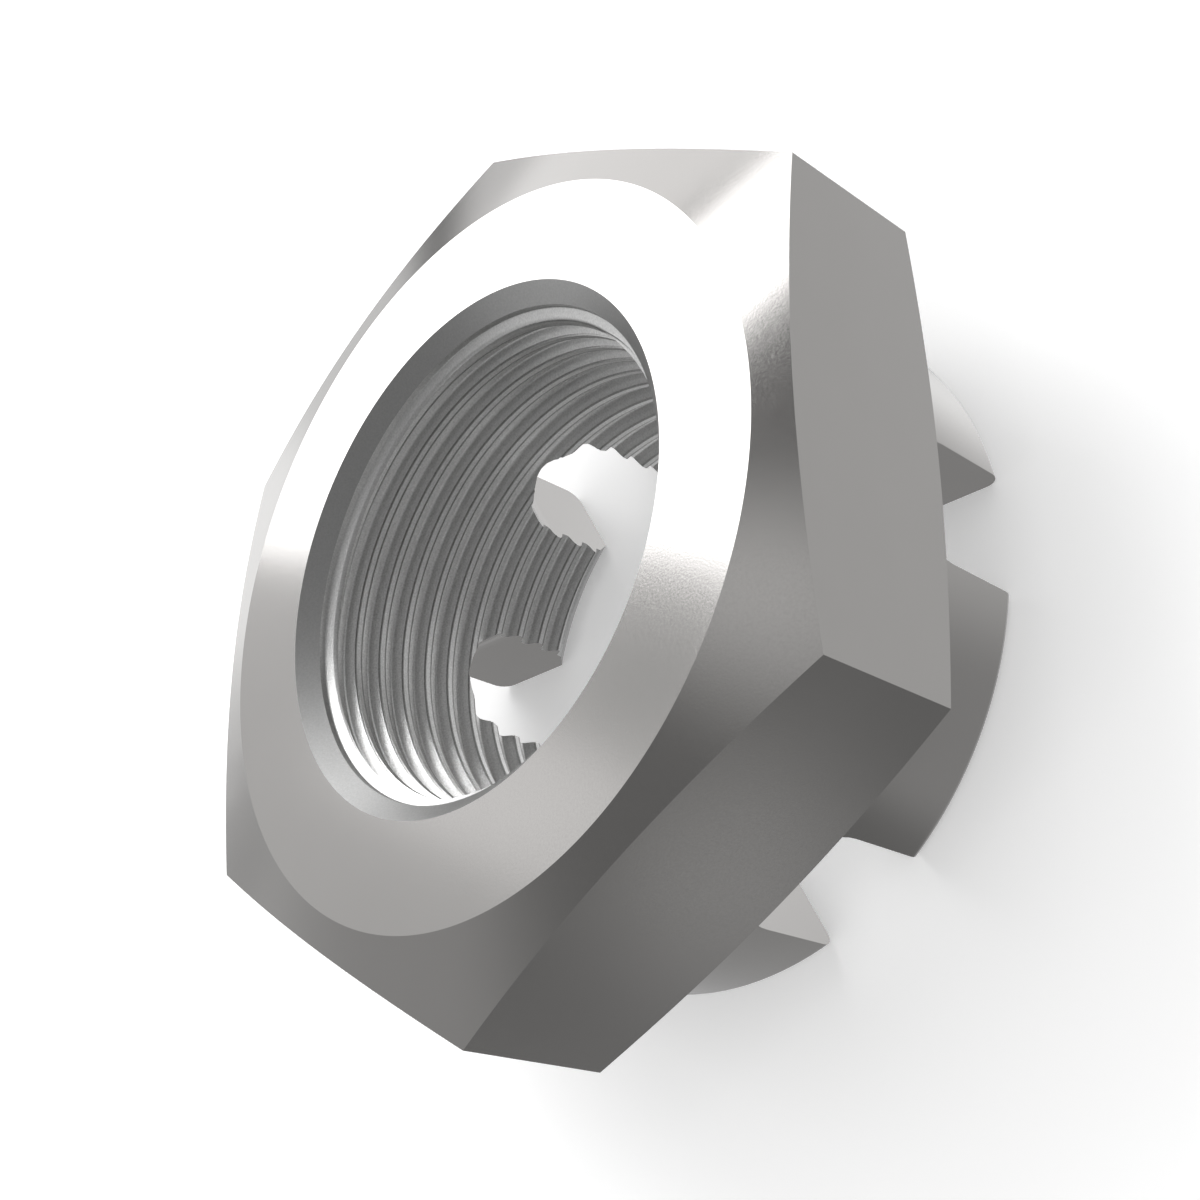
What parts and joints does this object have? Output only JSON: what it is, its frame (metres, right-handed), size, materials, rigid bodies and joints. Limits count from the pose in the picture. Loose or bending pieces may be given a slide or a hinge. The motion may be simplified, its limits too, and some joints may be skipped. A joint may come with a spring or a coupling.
{
  "type": "castle nut",
  "caption": "Thin hexagon castle nut with a right-hand internal thread and a round crown slotted for a cotter pin.",
  "frame": {"origin": "on the thread's axis, in the plane of the crown's end face, which the nut stands on", "axes": "+Z along the thread's axis from the crown to the bearing face; +X towards a corner of the hexagon"},
  "size_m": [0.0532, 0.046, 0.021],
  "materials": {
    "steel": "satin, fine turned grain"
  },
  "bodies": {
    "root": {"nut": "steel"}
  },
  "joints": []
}
